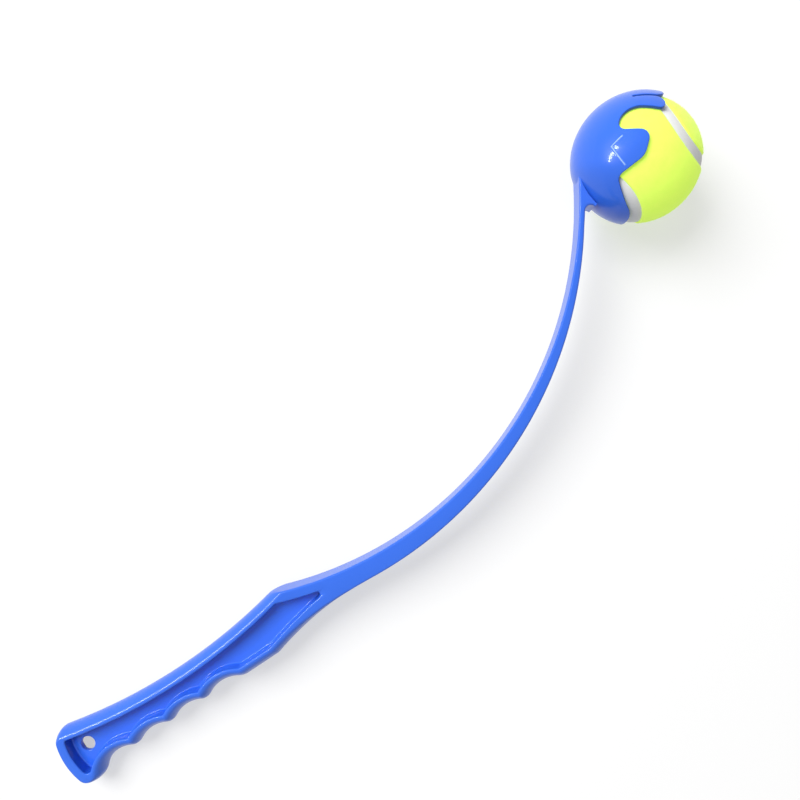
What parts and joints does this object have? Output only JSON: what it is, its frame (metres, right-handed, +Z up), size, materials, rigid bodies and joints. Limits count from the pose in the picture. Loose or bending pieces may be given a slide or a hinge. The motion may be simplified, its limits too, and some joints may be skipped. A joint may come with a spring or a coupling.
{
  "type": "dog tennis ball launcher",
  "caption": "Curved hand-held ball launcher with a grooved, hollowed grip, a springy tapering arm and a slotted claw cup that holds a felt-covered ball until it is thrown.",
  "frame": {"origin": "centre of the bounding box's bottom face, on the surface the launcher lies on", "axes": "+X from the butt of the handle to the ball, +Z up as the launcher lies on its side, +Y to the palm side of the grip"},
  "size_m": [0.4874, 0.0952, 0.0692],
  "materials": {
    "blue_plastic": "glossy moulded",
    "core_rubber": "matte",
    "felt": "napped felt",
    "seam_rubber": "matte"
  },
  "bodies": {
    "launcher": {"handle": "blue_plastic", "throwing_arm": "blue_plastic", "ball_cup": "blue_plastic"},
    "ball": {"core_half_a": "core_rubber", "core_half_b": "core_rubber", "felt_panel_a": "felt", "felt_panel_b": "felt", "ball_seam": "seam_rubber"}
  },
  "joints": [
    {"name": "ball_release", "type": "slide", "parent": "launcher", "child": "ball", "axis": [0.5075, -0.8612, 0.0294], "range_m": [0, 0.08]}
  ]
}
